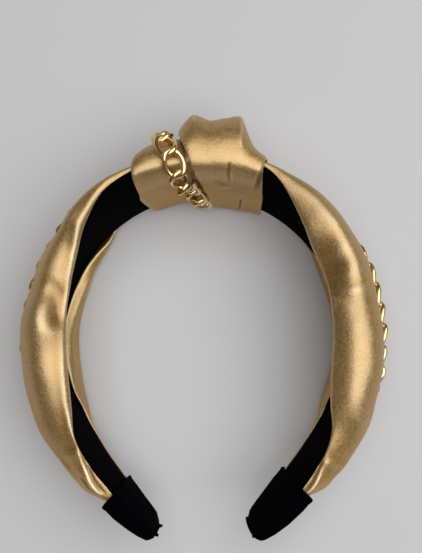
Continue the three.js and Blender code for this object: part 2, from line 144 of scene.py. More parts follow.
# soft uneven waves of about the given size, the same each run
def ripple(points, size, seed):
    draw = random.Random(seed)
    total = np.zeros(len(points))
    for _ in range(rippleValues["waves"]):
        way = Vector((draw.gauss(0, 1), draw.gauss(0, 1), draw.gauss(0, 1))).normalized()
        pace = draw.uniform(*rippleValues["pace"]) * 2 * math.pi / size
        total += np.sin(points @ np.array(way) * pace + draw.uniform(0, 2 * math.pi))
    return total / math.sqrt(rippleValues["waves"])


def addNode(tree, kind, **values):
    node = tree.nodes.new(kind)
    for name, value in values.items():
        if hasattr(node, name):
            setattr(node, name, value)
        else:
            node.inputs[name.replace("_", " ")].default_value = value
    return node


def newMaterial(name):
    material = bpy.data.materials.new(name)
    material.use_nodes = True
    tree = material.node_tree
    return material, tree, tree.nodes["Principled BSDF"]


def setSockets(shader, **values):
    for name, value in values.items():
        shader.inputs[name.replace("_", " ")].default_value = value


def colorRamp(tree, source, stops):
    ramp = addNode(tree, "ShaderNodeValToRGB")
    elements = ramp.color_ramp.elements
    while len(elements) < len(stops):
        elements.new(0.5)
    for element, (place, color) in zip(elements, stops):
        element.position = place
        element.color = (*color, 1)
    tree.links.new(source, ramp.inputs["Fac"])
    return ramp.outputs["Color"]


noiseRange = (0.3, 0.7)  # where most of a noise lies


def valueRange(tree, source, low, high, fromLow=0.0, fromHigh=1.0):
    node = addNode(tree, "ShaderNodeMapRange", From_Min=fromLow, From_Max=fromHigh, To_Min=low, To_Max=high)
    tree.links.new(source, node.inputs["Value"])
    return node.outputs["Result"]


noisePace = 0.5  # a noise of scale 1 has spots of about this size


# a noise whose spots are about the given size
def addNoise(tree, place, size, detail):
    noise = addNode(tree, "ShaderNodeTexNoise", Scale=noisePace / size, Detail=detail)
    tree.links.new(place, noise.inputs["Vector"])
    return noise.outputs["Fac"]


# the color made darker and lighter by a noise
def shadeColor(tree, color, noise, low, high):
    shade = addNode(tree, "ShaderNodeHueSaturation")
    tree.links.new(valueRange(tree, noise, low, high, *noiseRange), shade.inputs["Value"])
    tree.links.new(color, shade.inputs["Color"])
    return shade.outputs["Color"]


def bumpChain(tree, shader, heights):
    normal = None
    for height, strength, distance in heights:
        bump = addNode(tree, "ShaderNodeBump", Strength=strength, Distance=distance)
        tree.links.new(height, bump.inputs["Height"])
        if normal:
            tree.links.new(normal, bump.inputs["Normal"])
        normal = bump.outputs["Normal"]
    tree.links.new(normal, shader.inputs["Normal"])


leatherLook = {
    # the crease colour is painted shade, and the ridge colour is a painted highlight that is partly wear
    "deep": (0.18, 0.086, 0.021),  # painted shade in the creases
    "middle": (0.48, 0.29, 0.09),
    "ridgeHighlightAndWear": (0.72, 0.57, 0.32),  # painted highlight on the ridges, partly wear
    "edge": (0.95, 0.76, 0.5),  # seen at a low angle
    "stops": (0.1, 0.5, 0.95),  # of the painted crease shade, middle and the painted ridge highlight with wear
    "creases": (0.45, 0.55),  # pointiness from crease to ridge
    "blotch": (15 * mm, 3),  # size and detail
    "blotchShade": (0.88, 1.12),
    "speckle": (0.45 * mm, 4),
    "speckleShade": (0.8, 1.2),
    "crumple": (3 * mm, 2),
    "grain": 0.45 * mm,
    "roughness": (0.4, 0.54),
    "crumpleBump": (0.4, 0.3 * mm),  # strength and height
    "speckleBump": (0.6, 0.18 * mm),
    "grainBump": (0.2, 0.1 * mm),
    "metallic": 0.85,
    "coat": 0.45,
    "coatIor": 1.85,
    "coatRoughness": 0.32,
}


def leatherMaterial():
    material, tree, shader = newMaterial("gold leather")
    place = addNode(tree, "ShaderNodeTexCoord").outputs["Object"]
    pointiness = addNode(tree, "ShaderNodeNewGeometry").outputs["Pointiness"]
    blotch = addNoise(tree, place, *leatherLook["blotch"])
    speckle = addNoise(tree, place, *leatherLook["speckle"])
    crumple = addNoise(tree, place, *leatherLook["crumple"])
    grain = addNode(tree, "ShaderNodeTexVoronoi", feature="SMOOTH_F1", Scale=1 / leatherLook["grain"])
    tree.links.new(place, grain.inputs["Vector"])
    # painted highlight, partly wear, paler on the ridges, and painted shade deeper in the creases
    ridge = valueRange(tree, pointiness, 0, 1, *leatherLook["creases"])
    colors = [leatherLook[name] for name in ("deep", "middle", "ridgeHighlightAndWear")]
    color = colorRamp(tree, ridge, list(zip(leatherLook["stops"], colors)))
    color = shadeColor(tree, color, blotch, *leatherLook["blotchShade"])
    color = shadeColor(tree, color, speckle, *leatherLook["speckleShade"])
    tree.links.new(color, shader.inputs["Base Color"])
    roughness = valueRange(tree, speckle, *leatherLook["roughness"], *noiseRange)
    tree.links.new(roughness, shader.inputs["Roughness"])
    bumpChain(tree, shader, [(crumple, *leatherLook["crumpleBump"]), (speckle, *leatherLook["speckleBump"]),
                             (grain.outputs["Distance"], *leatherLook["grainBump"])])
    setSockets(shader, Metallic=leatherLook["metallic"], Specular_Tint=(*leatherLook["edge"], 1),
               Coat_Weight=leatherLook["coat"], Coat_IOR=leatherLook["coatIor"],
               Coat_Roughness=leatherLook["coatRoughness"])
    return material


chainLook = {
    "shade": (0.7, 0.48, 0.2),
    "color": (0.9, 0.7, 0.38),
    "stops": (0.3, 0.6),  # of shade and color
    "smear": (3 * mm, 3),  # size and detail
    "roughness": (0.12, 0.24),
    "bump": (0.1, 0.1 * mm),  # strength and height
}


def chainMaterial():
    material, tree, shader = newMaterial("gold chain")
    place = addNode(tree, "ShaderNodeTexCoord").outputs["Object"]
    smear = addNoise(tree, place, *chainLook["smear"])
    color = colorRamp(tree, smear, list(zip(chainLook["stops"], (chainLook["shade"], chainLook["color"]))))
    tree.links.new(color, shader.inputs["Base Color"])
    tree.links.new(valueRange(tree, smear, *chainLook["roughness"], *noiseRange), shader.inputs["Roughness"])
    bumpChain(tree, shader, [(smear, *chainLook["bump"])])
    setSockets(shader, Metallic=1)
    return material


clothLook = {
    "dark": (0.0003, 0.0003, 0.0005),
    "light": (0.0012, 0.0013, 0.0024),
    "stops": (0.3, 0.75),  # of dark and light
    "rib": (0.75 * mm, 0.6, 1),  # width, distortion and its detail
    "thread": (0.294375 * mm, 0.8, 2),
    "fuzz": (0.3125 * mm, 4),  # size and detail
    "roughness": (0.8, 1.0),
    "ribBump": (0.5, 0.2 * mm),  # strength and height
    "threadBump": (0.3, 0.08 * mm),
    "fuzzBump": (0.3, 0.1 * mm),
    "specular": 0.02,
    "sheen": 0.004,
    "sheenRoughness": 0.4,
    "sheenTint": (0.6, 0.7, 1, 1),
}


wavePace = 0.314  # a wave of scale 1 repeats after this length


# bands of the given width, one after another along the ribbon (X) or across it (Y)
def addBands(tree, ribbon, direction, width, distortion, detail):
    bands = addNode(tree, "ShaderNodeTexWave", bands_direction=direction, Scale=wavePace / width,
                    Distortion=distortion, Detail=detail)
    tree.links.new(ribbon, bands.inputs["Vector"])
    return bands.outputs["Fac"]


# ribbed ribbon: ribs across its length, fine threads along it
def clothMaterial():
    material, tree, shader = newMaterial("black cloth")
    ribbon = addNode(tree, "ShaderNodeAttribute", attribute_name="ribbon").outputs["Vector"]
    ribs = addBands(tree, ribbon, "X", *clothLook["rib"])
    threads = addBands(tree, ribbon, "Y", *clothLook["thread"])
    fuzz = addNoise(tree, ribbon, *clothLook["fuzz"])
    color = colorRamp(tree, fuzz, list(zip(clothLook["stops"], (clothLook["dark"], clothLook["light"]))))
    tree.links.new(color, shader.inputs["Base Color"])
    tree.links.new(valueRange(tree, fuzz, *clothLook["roughness"]), shader.inputs["Roughness"])
    bumpChain(tree, shader, [(ribs, *clothLook["ribBump"]), (threads, *clothLook["threadBump"]),
                             (fuzz, *clothLook["fuzzBump"])])
    setSockets(shader, Specular_IOR_Level=clothLook["specular"], Sheen_Weight=clothLook["sheen"],
               Sheen_Roughness=clothLook["sheenRoughness"], Sheen_Tint=clothLook["sheenTint"])
    return material


goldLeather = leatherMaterial()
goldChain = chainMaterial()
blackCloth = clothMaterial()
print("materials made")


def addPiece(name, data, material):
    data.materials.clear()
    data.materials.append(material)
    data.shade_smooth()
    piece = bpy.data.objects.new(name, data)
    scene.collection.objects.link(piece)
    return piece


def finishPiece(piece, slot, *nodes):
    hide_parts(*nodes)
    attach(piece, "root")


def evaluatedMesh(piece):
    return bpy.data.meshes.new_from_object(piece.evaluated_get(bpy.context.evaluated_depsgraph_get()))


skinValues = {
    "weld": 0.01 * mm,
    "bend": math.radians(70),  # most that two triangles of a quad may bend
    "skew": math.radians(150),  # most that a quad may be out of square
    "levels": 3,
    "fitPasses": 2,
    "fitShare": 0.8,  # share of the remaining distance that each pass makes up
}


# a node's skin with its facets rounded off
def smoothSkin(name, node):
    skin = bmesh.new()
    skin.from_mesh(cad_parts[node].data)
    bmesh.ops.remove_doubles(skin, verts=skin.verts, dist=skinValues["weld"])
    bmesh.ops.join_triangles(skin, faces=skin.faces, angle_face_threshold=skinValues["bend"],
                             angle_shape_threshold=skinValues["skew"])
    data = bpy.data.meshes.new(name)
    skin.to_mesh(data)
    skin.free()
    rough = bpy.data.objects.new(name + "_rough", data)
    scene.collection.objects.link(rough)
    rounding = rough.modifiers.new("rounding", "SUBSURF")
    rounding.levels = 1
    corners = meshPoints(data)
    cage = corners.copy()
    # swell the cage until the smooth skin passes close to the corners
    for _ in range(skinValues["fitPasses"]):
        smooth = evaluatedMesh(rough)
        cage += (corners - meshPoints(smooth)[:len(corners)]) * skinValues["fitShare"]
        bpy.data.meshes.remove(smooth)
        data.vertices.foreach_set("co", cage.ravel())
        data.update()
    rounding.levels = skinValues["levels"]
    smooth = evaluatedMesh(rough)
    smooth.name = name
    bpy.data.objects.remove(rough)
    return smooth


# distance to a line of flat spots, the side of it (left is positive) and the share of its length passed
def lineDistance(spots, line):
    runs = np.concatenate(([0], np.cumsum(np.linalg.norm(np.diff(line, axis=0), axis=1))))
    nearest = np.full(len(spots), np.inf)
    side = np.ones(len(spots))
    passed = np.zeros(len(spots))
    for k, (start, end) in enumerate(zip(line, line[1:])):
        run = end - start
        away = spots - start
        share = np.clip(away @ run / (run @ run), 0, 1)
        distance = np.linalg.norm(away - share[:, None] * run, axis=1)
        closer = distance < nearest
        nearest[closer] = distance[closer]
        side[closer] = np.sign(run[0] * away[closer, 1] - run[1] * away[closer, 0])
        passed[closer] = (runs[k] + share[closer] * (runs[k + 1] - runs[k])) / runs[-1]
    return nearest, side, passed


leatherRadius = 72  # mm, turns degrees round into lengths along a fold
foldDefaults = {"way": "facing", "taper": 0.25, "power": 2}


# folds are lines of (round, facing) places
def foldHeight(points, folds, centreOut, reach):
    flat = math.radians(1) * np.array((leatherRadius, reach))
    spots = np.column_stack((roundAngle(points), facingAngle(points, centreOut))) * flat
    return lineHeight(spots, folds, flat)


# rolls of the strip at the back are lines of (round, radius) places
def rollHeight(points, rolls):
    flat = np.array((math.radians(leatherRadius), 1))
    spots = np.column_stack((roundAngle(points), ringRadius(points) / mm)) * flat
    return lineHeight(spots, rolls, flat) * (points[:, 2] < ring.z)


# a ridge or a hollow along each line, or with fade a layer's edge whose left side is up
# width, height and fade are in mm, and taper is the share of the line in which it starts and ends
def lineHeight(spots, folds, flat):
    total = np.zeros(len(spots))
    for fold in folds:
        nearest, side, passed = lineDistance(spots, np.array(fold["line"], float) * flat)
        taper = np.clip(np.minimum(passed, 1 - passed) / fold.get("taper", foldDefaults["taper"]), 0, 1)
        taper = taper * taper * (3 - 2 * taper)
        if "fade" in fold:
            across = np.clip(side * nearest / fold["width"], -30, 30)  # a wider range would overflow
            shape = 1 / (1 + np.exp(-across)) * np.exp(-np.where(side > 0, nearest, 0) / fold["fade"])
        else:
            shape = np.exp(-(nearest / fold["width"]) ** fold.get("power", foldDefaults["power"]))
        total += fold["height"] * taper * shape
    return total * mm


# 1 inside the span, fading to 0 over the given margin outside it
def inSpan(values, low, high, margin):
    return np.clip(np.minimum(values - low, high - values) / margin + 1, 0, 1)


softValues = {"roundMargin": 5, "facingMargin": 12, "steps": 10}  # margins in degrees


# relaxes the skin in its soft span of (round, facing)
def softenSkin(data, values):
    points = meshPoints(data)
    (fromRound, toRound), (fromFacing, toFacing) = values["soft"]
    facing = facingAngle(points, values["centreOut"] * mm)
    weights = inSpan(roundAngle(points), fromRound, toRound, softValues["roundMargin"])
    weights *= inSpan(facing, fromFacing, toFacing, softValues["facingMargin"])
    rough = bpy.data.objects.new("relaxing", data)
    scene.collection.objects.link(rough)
    group = rough.vertex_groups.new(name="soft")
    steps = np.rint(weights * softValues["steps"]).astype(int)
    for step in range(1, softValues["steps"] + 1):
        group.add(np.flatnonzero(steps == step).tolist(), step / softValues["steps"], "REPLACE")
    relax = rough.modifiers.new("relax", "SMOOTH")
    relax.vertex_group = "soft"
    relax.iterations = values["relax"]
    relaxed = evaluatedMesh(rough)
    bpy.data.objects.remove(rough)
    relaxed.name = data.name
    return relaxed


def shapeLeather(data, values):
    points = meshPoints(data)
    centreOut = values["centreOut"] * mm
    way = facingWay(points, centreOut)
    ways = {"facing": way, "up": np.array((0, 0, 1)), "out": outWay(points)}
    shift = np.zeros(points.shape)
    for name, foldWay in ways.items():  # each fold rises along its own way
        folds = [fold for fold in values["folds"] if fold.get("way", foldDefaults["way"]) == name]
        shift += foldWay * foldHeight(points, folds, centreOut, values["reach"])[:, None]
    shift += ways["up"] * rollHeight(points, values.get("rolls", []))[:, None]
    for size, height, seed in values["crumple"]:
        shift += way * (ripple(points, size * mm, seed) * height * mm)[:, None]
    points = points + shift
    points[:, 2] = np.maximum(points[:, 2], 0)
    data.vertices.foreach_set("co", points.ravel())
    data.update()


# flat is the sheet's size in m, centreOut the mm from the band's line out to the middle of the section,
# reach the mm from there to the skin, which turns degrees of facing into lengths,
# soft a span of degrees round and facing, relax its passes, crumple rows of size, height (mm) and seed
leatherValues = {
    "leather_left": {
        "node": "cover_left", "flat": (0.072, 0.15), "held": "gathered",
        "centreOut": 1.5, "reach": 15,
        "soft": ((-150, -20), (20, 130)), "relax": 12,
        "crumple": [(22, 0.14, 1), (9, 0.03, 2)],
        # groove and roll along the strip at the back
        "rolls": [
            {"line": [(-64, 59.4), (-72, 59.6), (-82, 59.8), (-92, 59.8)],
             "width": 1.7, "height": -0.6, "taper": 0.45},
            {"line": [(-46, 57.2), (-60, 57.4), (-72, 57.5), (-86, 57.6), (-98, 57.2), (-114, 58.8)],
             "width": 1.8, "height": 1.4, "taper": 0.3},
        ],
        "folds": [
            # rolled rim along the black band
            {"line": [(-27, 75), (-35, 83), (-41, 89), (-48, 95), (-56, 106), (-68, 117), (-82, 122),
                      (-92, 120), (-106, 114), (-117, 107), (-126, 100), (-134, 93)],
             "width": 1.6, "height": 1.1, "taper": 0.08},
            # slope outside the rim, steepest near the knot
            {"line": [(-46, 64), (-54, 67), (-62, 69), (-70, 70), (-80, 66)], "way": "up", "width": 9.5,
             "height": -3.8, "taper": 0.3},
            {"line": [(-74, 60), (-84, 61), (-94, 66), (-106, 70), (-120, 67), (-142, 58)], "way": "up",
             "width": 7.5, "height": -2.6, "taper": 0.18},
            {"line": [(-98, 70), (-114, 71), (-130, 67), (-144, 60)], "way": "up",
             "width": 6, "height": -1.4, "taper": 0.25},
            # hollow across the side and along the rim, and the full part beside it
            {"line": [(-66, 92), (-69, 98), (-72, 104), (-76, 109), (-82, 112), (-88, 113)], "width": 3,
             "height": -1.9, "taper": 0.35},
            {"line": [(-74, 86), (-80, 90), (-87, 94), (-95, 97)], "width": 4.5, "height": 1.8, "taper": 0.5},
            # rolled edge of the strip at the back
            {"line": [(-56, -116), (-70, -118), (-86, -120), (-102, -120), (-116, -117)], "way": "out",
             "width": 1.5, "height": -1.2, "taper": 0.2},
            # full outside above the sleeve
            {"line": [(-137, 25), (-143, 25), (-148, 25), (-153, 25)],
             "width": 5.5, "height": 1.3, "taper": 0.35},
            # pleats that run into the sleeve
            {"line": [(-130, 97), (-134, 91), (-138, 83), (-143, 76), (-148, 70)],
             "width": 0.3, "height": 1.2, "fade": 6, "taper": 0.15},
            {"line": [(-133, 97), (-137, 90), (-142, 83), (-148, 77)], "width": 0.9, "height": -0.7},
            {"line": [(-137, 68), (-142, 62), (-149, 58)], "width": 1.2, "height": -0.8},
        ],
    },
    "leather_right": {
        "node": "cover_right", "flat": (0.072, 0.15), "held": "gathered",
        "centreOut": 1.5, "reach": 15,
        "soft": ((20, 150), (20, 130)), "relax": 12,
        "crumple": [(22, 0.14, 3), (9, 0.03, 4)],
        "folds": [
            # soft ridge from the knot, with the slope and the hollow inside it
            {"line": [(26, 76), (36, 83), (46, 87), (56, 88), (66, 89), (78, 93)],
             "width": 3.2, "height": 1.2, "taper": 0.3},
            {"line": [(41, 122), (49, 126), (58, 129), (66, 131), (74, 132)], "way": "up", "width": 7,
             "height": -4.5, "taper": 0.4},
            {"line": [(71, 106), (65, 105), (58, 104), (50, 101)], "width": 1.6, "height": 3, "fade": 6,
             "taper": 0.45},
            {"line": [(56, 103), (61, 104), (66, 105)], "width": 3, "height": -0.9, "taper": 0.5},
            {"line": [(69, 92), (71, 100), (73, 108), (74, 115)], "way": "up", "width": 4.5, "height": 0.8,
             "taper": 0.5},
            # broad full strip below
            {"line": [(72, 98), (78, 104), (88, 107), (100, 106), (112, 99), (126, 86)],
             "width": 5, "height": 1.3, "taper": 0.3},
            {"line": [(76, 73), (88, 75), (100, 74), (112, 70)], "width": 5, "height": 2.2, "taper": 0.4},
            {"line": [(116, 70), (126, 68), (134, 65), (144, 60)], "way": "up", "width": 6.5, "height": -2,
             "taper": 0.3},
            # inner edge drawn out
            {"line": [(44, 128), (58, 131), (74, 133), (92, 134), (108, 131), (124, 124)], "way": "out",
             "width": 6, "height": 1.8, "taper": 0.2},
            # outside drawn in beside the chain, and full above the sleeve
            {"line": [(28, 16), (40, 15), (54, 14), (68, 14), (84, 10)],
             "width": 7, "height": -2.6, "taper": 0.35},
            {"line": [(84, 8), (96, 4), (108, 0)], "width": 6, "height": 0.9, "taper": 0.4},
            {"line": [(135, 25), (141, 25), (147, 25), (153, 25)],
             "width": 5.5, "height": 1.9, "taper": 0.35},
            # edge of a second layer on the inside
            {"line": [(65, 126), (72, 126), (80, 128)], "width": 0.4, "height": 0.7, "fade": 4},
            # pleats that run into the sleeve
            {"line": [(148, 70), (143, 76), (138, 83), (133, 90)], "width": 0.5, "height": 0.9, "fade": 6,
             "taper": 0.15},
            {"line": [(148, 75), (143, 81), (138, 88), (134, 94)], "width": 0.8, "height": -0.8},
        ],
    },
    "loop_under": {
        "node": "knot_under", "flat": (0.036, 0.085), "held": "folded",
        "centreOut": 8, "reach": 15,
        "soft": ((-30, 0), (40, 185)), "relax": 200,
        "crumple": [(16, 0.12, 5), (7, 0.03, 6)],
        "folds": [
            # round belly below the front
            {"line": [(-28, 120), (-18, 122), (-6, 124)], "width": 6.5, "height": 2.3, "taper": 0.08},
        ],
    },
    "loop_over": {
        "node": "knot_over", "flat": (0.038, 0.1), "held": "folded",
        "centreOut": 9, "reach": 17,
        "soft": ((-12, 30), (100, 185)), "relax": 160,
        "crumple": [(16, 0.12, 7), (7, 0.03, 8)],
        "folds": [
            # round belly below the front
            {"line": [(-9, 120), (4, 122), (20, 124)], "width": 6.5, "height": 2.7, "taper": 0.08},
            # two corners along the top, and the dip between them
            {"line": [(-3, 0), (-3, 45), (-2.4, 78)], "width": 1.3, "height": 1.0, "power": 1.2},
            {"line": [(1.2, 10), (1.3, 62), (2, 88)], "width": 2, "height": -0.5},
            {"line": [(9.7, 0), (9.7, 48), (10.2, 76), (11, 96)], "width": 1.2, "height": 1.2, "power": 1.2},
            # short pleat and dents of the underside
            {"line": [(8.0, 106), (8.4, 119), (9.4, 140)], "width": 0.7, "height": -0.55},
            {"line": [(3.5, 132), (6, 150), (8.5, 168)], "width": 2.6, "height": -0.8},
            {"line": [(15.2, -128), (15, -140), (14.8, -156)], "width": 0.7, "height": -1.1},
            # thickened right edge
            {"line": [(18.6, 84), (19.4, 108), (21, 129), (22.6, 150), (24, 178)],
             "width": 0.8, "height": 0.4, "taper": 0.1},
        ],
    },
}


def makeLeather():
    pieces = {}
    for name, values in leatherValues.items():
        data = softenSkin(smoothSkin(name, values["node"]), values)
        shapeLeather(data, values)
        piece = addPiece(name, data, goldLeather)
        finishPiece(piece, "gold_leather", values["node"])
        pieces[name] = piece
    return pieces


leather = makeLeather()
print("leather shaped")

linkValues = {
    "pitch": 8.8 * mm,
    "hold": 1.6 * mm,  # how far the wires of two neighbours hook past each other
    "width": 7.2 * mm,
    "wire": 1.05 * mm,  # radius
    "twist": 28,  # degrees
    "fullness": 0.7,  # under 1 is fuller than an ellipse
    "aim": 1 * mm,  # how far before and after its middle a link's way is taken
    "parts": 36,
    "sides": 12,
}

# lift is the middle of the chain above the leather, slack how many mm further off by degrees along the run,
# forward the mm to the front by degrees round from the top, runOn the degrees that it goes on under the knot
chainValues = {
    "links_left": {
        "node": "chain_left", "skin": "leather_left", "step": 1.5, "window": 7, "runOn": 8, "phase": 0,
        "lift": 1.2 * mm,
        "slack": [(0, 0)],
        "forward": [(26, 2), (38, 7), (46, 6), (56, 3.5), (95, 4.5), (106, 0)],
    },
    "links_right": {
        "node": "chain_right", "skin": "leather_right", "step": 1.5, "window": 7, "runOn": 6, "phase": 0,
        "lift": 1.1 * mm,
        "slack": [(0, 0)],
        "forward": [(36, 0), (48, 7), (58, 8.5), (66, 8), (78, 6), (92, 2.5), (112, 2), (122, 0)],
    },
    "links_knot": {
        "node": "chain_knot", "skin": "loop_under", "step": 3, "window": 22, "runOn": 0, "phase": 0.5,
        "lift": 2 * mm,
        "slack": [(75, 0), (105, 1.3), (128, 1.8), (150, 1), (172, 0)],
        "forward": [(0, 0)],
    },
}
evenPasses = {"ups": 6, "places": 4}


def tableValue(table, places):
    known, values = zip(*table)
    return np.interp(places, known, values)


# middle line of a chain: the mean of its node's points in a window about one link long
def chainLine(values, angleOf, closed):
    points = meshPoints(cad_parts[values["node"]].data)
    angles = angleOf(points)
    step, window = values["step"], values["window"]
    if closed:
        stops = np.arange(-180, 180, step)
    else:
        stops = np.arange(angles.min() + window, angles.max() - window, step)
    line = []
    for stop in stops:
        away = (angles - stop + 180) % 360 - 180
        weights = np.clip(1 - np.abs(away / window), 0, 1)
        line.append(weights @ points / weights.sum())
    line = np.array(line)
    if not closed:  # run straight on to the node's ends, and under the knot
        near, far = line[0] - line[1], line[-1] - line[-2]
        nearSteps = np.arange(1, int((window + values["runOn"]) / step) + 1)[:, None]
        farSteps = np.arange(1, int(window / step) + 1)[:, None]
        line = np.vstack((line[0] + near * nearSteps[::-1], line, line[-1] + far * farSteps))
    return line


# the line moved to its lift above the leather, and the way up from the leather along it
def seatLine(line, skin, lift, closed):
    corners = [v.co for v in skin.data.vertices]
    tree = BVHTree.FromPolygons(corners, [list(face.vertices) for face in skin.data.polygons])
    places, ups = [], []
    for spot in line:
        place = tree.find_nearest(Vector(spot))[0]
        places.append(place)
        ups.append((Vector(spot) - place).normalized())
    ups = evened(np.array(ups), evenPasses["ups"], closed)
    ups /= np.linalg.norm(ups, axis=1)[:, None]
    return evened(np.array(places) + ups * lift[:, None], evenPasses["places"], closed), ups


def evened(values, passes, closed):
    for _ in range(passes):
        before, after = (values[-1:], values[:1]) if closed else (values[:1], values[-1:])
        padded = np.vstack((before, values, after))
        values = (padded[:-2] + padded[1:-1] * 2 + padded[2:]) / 4
    return values


def alongLine(line, values, distances, closed):
    if closed:
        line, values = np.vstack((line, line[:1])), np.vstack((values, values[:1]))
    run = np.concatenate(([0], np.cumsum(np.linalg.norm(np.diff(line, axis=0), axis=1))))
    return np.column_stack([np.interp(distances % run[-1] if closed else distances, run, column)
                            for column in values.T]), run[-1]


# one oval link of round wire, twisted end to end, along x with its face up z
def linkRings(length):
    turn = np.arange(linkValues["parts"]) / linkValues["parts"] * 2 * math.pi
    smallTurn = 0.05

    def middle(turn):
        twist = math.radians(linkValues["twist"]) * np.cos(turn)
        bow = np.sign(np.sin(turn)) * np.abs(np.sin(turn)) ** linkValues["fullness"]
        side = linkValues["width"] / 2 * bow
        return np.column_stack((length / 2 * np.cos(turn), side * np.cos(twist), side * np.sin(twist)))

    spots = middle(turn)
    way = middle(turn + smallTurn) - middle(turn - smallTurn)
    way /= np.linalg.norm(way, axis=1)[:, None]
    out = spots - way * np.sum(spots * way, axis=1)[:, None]
    out /= np.linalg.norm(out, axis=1)[:, None]
    up = np.cross(way, out)
    around = np.arange(linkValues["sides"]) / linkValues["sides"] * 2 * math.pi
    return (spots[:, None] + linkValues["wire"] * (np.cos(around)[None, :, None] * out[:, None]
                                                   + np.sin(around)[None, :, None] * up[:, None]))


def ringFaces(rings, sides, first):
    faces = []
    for k in range(rings):
        for n in range(sides):
            a, b = k * sides + n, k * sides + (n + 1) % sides
            c, d = ((k + 1) % rings) * sides + (n + 1) % sides, ((k + 1) % rings) * sides + n
            faces.append((first + a, first + d, first + c, first + b))
    return faces


def makeChain(name, angleOf, closed=False):
    values = chainValues[name]
    line = chainLine(values, angleOf, closed)
    line[:, 2] += tableValue(values["forward"], np.abs(roundAngle(line))) * mm
    lift = values["lift"] + tableValue(values["slack"], angleOf(line)) * mm
    line, ups = seatLine(line, leather[values["skin"]], lift, closed)
    overlap = 0 if closed else linkValues["hold"]
    length = alongLine(line, line, np.array([0.0]), closed)[1] - overlap
    count = round(length / linkValues["pitch"])
    pitch = length / count
    rings = linkRings(pitch + linkValues["hold"])
    points, faces = [], []
    aim = linkValues["aim"]
    for k in range(count):
        at = overlap / 2 + pitch * (k + 0.5 + values["phase"])
        before, spot, after = alongLine(line, line, np.array([at - aim, at, at + aim]), closed)[0]
        up = Vector(alongLine(line, ups, np.array([at]), closed)[0][0])
        way = Vector(after - before).normalized()
        side = up.cross(way).normalized()
        turned = rings @ np.array((way, side, way.cross(side))) + spot
        faces += ringFaces(linkValues["parts"], linkValues["sides"], sum(len(p) for p in points))
        points.append(turned.reshape(-1, 3))
    data = bpy.data.meshes.new(name)
    data.from_pydata(np.vstack(points).tolist(), [], faces)
    data.update()
    finishPiece(addPiece(name, data, goldChain), "gold_chain", values["node"])
    print(name, count, "links")


def sideAngle(points):
    return np.abs(roundAngle(points))


def knotAngle(points):
    low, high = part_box("chain_knot")
    centre = (low + high) / 2
    return np.degrees(np.arctan2(points[:, 2] - centre.z, points[:, 1] - centre.y))


makeChain("links_left", sideAngle)
makeChain("links_right", sideAngle)
makeChain("links_knot", knotAngle, closed=True)
print("chains linked")


def ribbonAttribute(data):
    points = meshPoints(data)
    along = np.radians(roundAngle(points)) * bandValues["weaveRadius"]
    spots = np.column_stack((along, points[:, 2], np.zeros(len(points))))
    ribbon = data.attributes.new("ribbon", "FLOAT_VECTOR", "POINT")
    ribbon.data.foreach_set("vector", spots.ravel())


def makeBand():
    data = smoothSkin("lining_band", "inner_band")
    ribbonAttribute(data)
    finishPiece(addPiece("lining_band", data, blackCloth), "black_cloth", "inner_band")


sleeveValues = {
    "voxel": 0.45 * mm,
    "smooth": 6,
    "centreOut": 2.5 * mm,  # middle of the sleeve outside the band's line
    "level": 1 * mm,  # between the rows of its end
    "endLong": 1,  # degrees of the ring that count as its end
    "pressLong": 1.6,  # degrees of the ring pressed flat at the end
    "press": 0.55,  # share of the thickness taken off at the very end
    "hem": 0.35 * mm,  # how far the mouth's hem stands out
    "hemLong": 1.3,  # degrees of the ring
    "hemPower": 0.5,  # lower is fuller
    "mouthStep": 8,  # degrees of facing
}


# the far end of a sleeve: rows of height, degrees round and radius
def sleeveEnd(points):
    angles = np.abs(roundAngle(points))
    radii = ringRadius(points)
    level = sleeveValues["level"]
    rows = []
    for height in np.arange(points[:, 2].min() + level, points[:, 2].max() - level, level):
        near = np.abs(points[:, 2] - height) < level
        far = angles[near].max()
        rows.append((height, far, radii[near & (angles > far - sleeveValues["endLong"])].mean()))
    return np.array(rows)


# where the slanting mouth lies for each point: the smallest angle among points of the same facing
def mouthAngle(points, angles):
    facing = np.rint(facingAngle(points, sleeveValues["centreOut"]) / sleeveValues["mouthStep"]).astype(int)
    mouth = np.empty(len(points))
    for value in np.unique(facing):
        same = facing == value
        mouth[same] = angles[same].min()
    return mouth


# end pressed flat, and a hem round the mouth
def shapeSleeve(data):
    points = meshPoints(data)
    normals = meshNormals(data)
    angles = np.abs(roundAngle(points))
    heights, ends, endRadii = sleeveEnd(points).T
    toEnd = np.interp(points[:, 2], heights, ends) - angles
    pressed = np.clip(1 - toEnd / sleeveValues["pressLong"], 0, 1) * sleeveValues["press"]
    thick = ringRadius(points) - np.interp(points[:, 2], heights, endRadii)
    points = points - outWay(points) * (thick * pressed)[:, None]
    toMouth = angles - mouthAngle(points, angles)
    hem = np.clip(1 - toMouth / sleeveValues["hemLong"], 0, 1) ** sleeveValues["hemPower"]
    points += normals * (hem * sleeveValues["hem"])[:, None]
    data.vertices.foreach_set("co", points.ravel())
    data.update()


# a loop of corners, joined to the last one
def addLoop(skin, spots, last):
    loop = [skin.verts.new(spot) for spot in spots]
    if last:
        for k in range(len(loop)):
            following = (k + 1) % len(loop)
            skin.faces.new((last[k], last[following], loop[following], loop[k]))
    return loop


tuftValues = {
    "seed": {"left": 11, "right": 12},
    "count": 9,
    "facing": (115, 235),  # inner side of the mouth
    "window": 6,  # degrees of facing
    "long": 1.5 * mm,
    "longShare": (0.5, 1.2),
    "thick": 0.32 * mm,
    "thinning": 0.75,  # share of the thickness lost at the tip
    "inwards": (0.5, 1),
    "along": (-0.5, 0.6),
    "up": (-0.2, 0.5),
    "bend": 0.4,
    "sunk": 0.2 * mm,
    "steps": 4,
    "sides": 6,
}


